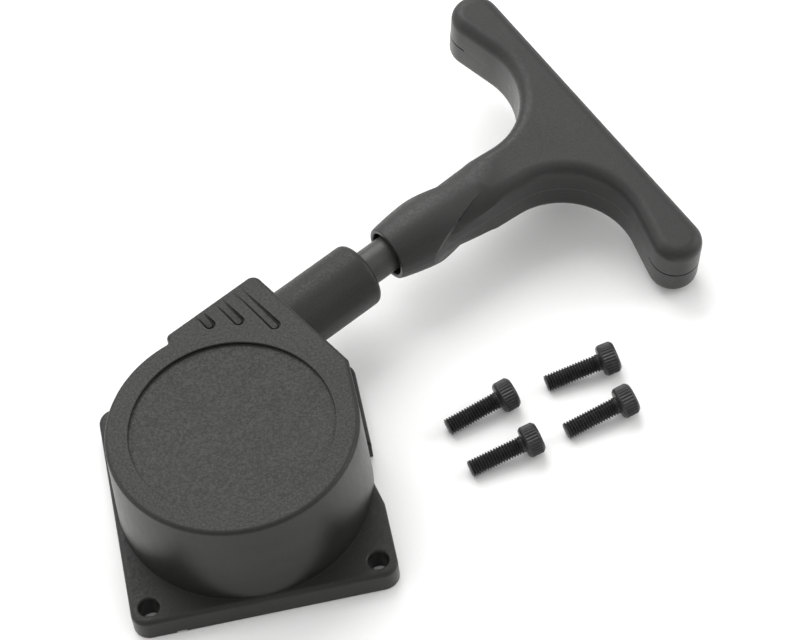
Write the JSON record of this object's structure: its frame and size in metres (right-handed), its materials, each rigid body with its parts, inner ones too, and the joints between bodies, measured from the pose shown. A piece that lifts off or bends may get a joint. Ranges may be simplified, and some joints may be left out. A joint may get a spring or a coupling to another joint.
{
  "type": "recoil starter",
  "caption": "Hand pull starter for a model engine: flanged drum case with a rope outlet tube, T-handle on a cord, spring-returned reel on a one-way clutch, and loose mounting screws.",
  "frame": {"origin": "centre of the four mounting holes, on the flange's back face, which is also the drum's axis", "axes": "+Z along the drum's axis to its closed end, +X along the flange's edge on the side that the rope leaves to, +Y along the next edge"},
  "size_m": [0.1072, 0.1068, 0.0227],
  "materials": {
    "case_nylon": "matte black glass-filled nylon with a fine grain",
    "handle_nylon": "matte black glass-filled nylon with a fine grain",
    "guide_plastic": "satin black acetal",
    "black_oxide_steel": "oiled black oxide",
    "plated_steel": "zinc plated",
    "spring_steel": "blued strip",
    "bearing_steel": "ground and polished",
    "cage_nylon": "black nylon",
    "white_nylon": "natural nylon",
    "cord": "braided black nylon cord"
  },
  "bodies": {
    "housing": {"case": "case_nylon", "rope_guide": "guide_plastic", "retaining_plate": "plated_steel", "thrust_washer": "white_nylon", "spring_disc": "plated_steel", "recoil_spring": "spring_steel", "plate_screw_1": "plated_steel", "plate_screw_2": "plated_steel", "plate_screw_3": "plated_steel", "cap_screw_1": "black_oxide_steel", "cap_screw_2": "black_oxide_steel", "cap_screw_3": "black_oxide_steel", "cap_screw_4": "black_oxide_steel"},
    "reel": {"reel": "white_nylon", "clutch_cup": "bearing_steel", "clutch_cage": "cage_nylon", "clutch_roller_1": "bearing_steel", "clutch_roller_2": "bearing_steel", "clutch_roller_3": "bearing_steel", "clutch_roller_4": "bearing_steel", "clutch_roller_5": "bearing_steel", "clutch_roller_6": "bearing_steel", "clutch_spring_1": "spring_steel", "clutch_spring_2": "spring_steel", "clutch_spring_3": "spring_steel", "clutch_spring_4": "spring_steel", "clutch_spring_5": "spring_steel", "clutch_spring_6": "spring_steel", "rope_winding": "cord"},
    "handle": {"handle_upper": "handle_nylon", "handle_lower": "handle_nylon", "handle_screw_1": "plated_steel", "handle_screw_2": "plated_steel", "handle_screw_3": "plated_steel", "knot_washer": "plated_steel", "rope_lead": "cord"}
  },
  "joints": [
    {"name": "handle_pull", "type": "slide", "parent": "housing", "child": "handle", "axis": [0.8695, 0.4939, 0], "range_m": [0, 0.24], "stiffness_N_per_m": 12, "springref_m": -0.12},
    {"name": "reel_spin", "type": "hinge", "parent": "housing", "child": "reel", "pos_m": [0, 0, 0.0125], "axis": [0, 0, -1], "range_deg": [0, 1010], "deforming": ["recoil_spring"]}
  ],
  "couplings": [
    {"joint": "reel_spin", "follows": "handle_pull", "rad_per_m": 73}
  ]
}
